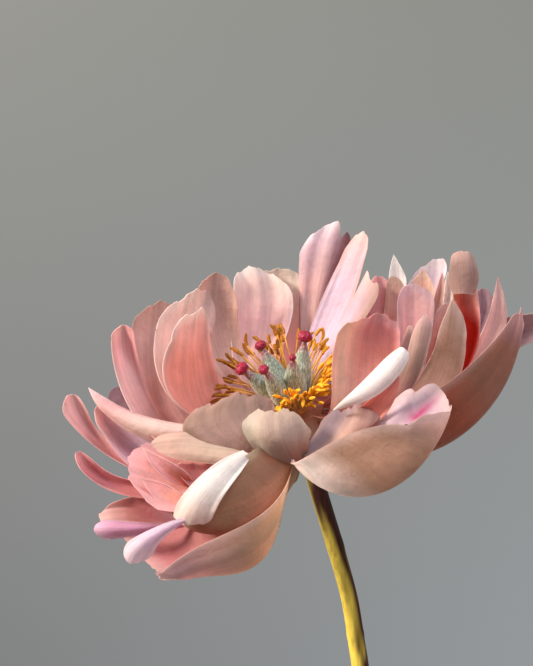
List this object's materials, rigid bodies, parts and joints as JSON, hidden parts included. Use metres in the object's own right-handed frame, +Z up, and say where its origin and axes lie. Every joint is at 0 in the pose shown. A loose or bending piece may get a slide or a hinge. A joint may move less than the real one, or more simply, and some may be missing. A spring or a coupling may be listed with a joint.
{
  "type": "peony in a bud vase",
  "caption": "Semi-double coral peony with stamens and carpels on one curved stem, standing in water in a plain glazed bud vase.",
  "frame": {"origin": "centre of the vase's flat foot, on the surface that it stands on", "axes": "+Z up along the vase's axis; the bloom leans and looks towards -Y, and -X is its left seen from the front"},
  "size_m": [0.1784, 0.1302, 0.3411],
  "materials": {
    "ceramic": "gloss",
    "water": "gloss",
    "stem": "satin",
    "petal": "satin",
    "carpel": "matte",
    "stigma": "satin",
    "stamen": "matte"
  },
  "bodies": {
    "root": {"vase": "ceramic", "water": "water", "stem": "stem", "petals": "petal", "carpels": "carpel", "stigma_1": "stigma", "stigma_2": "stigma", "stigma_3": "stigma", "stigma_4": "stigma", "stigma_5": "stigma", "stamens": "stamen"}
  },
  "joints": []
}
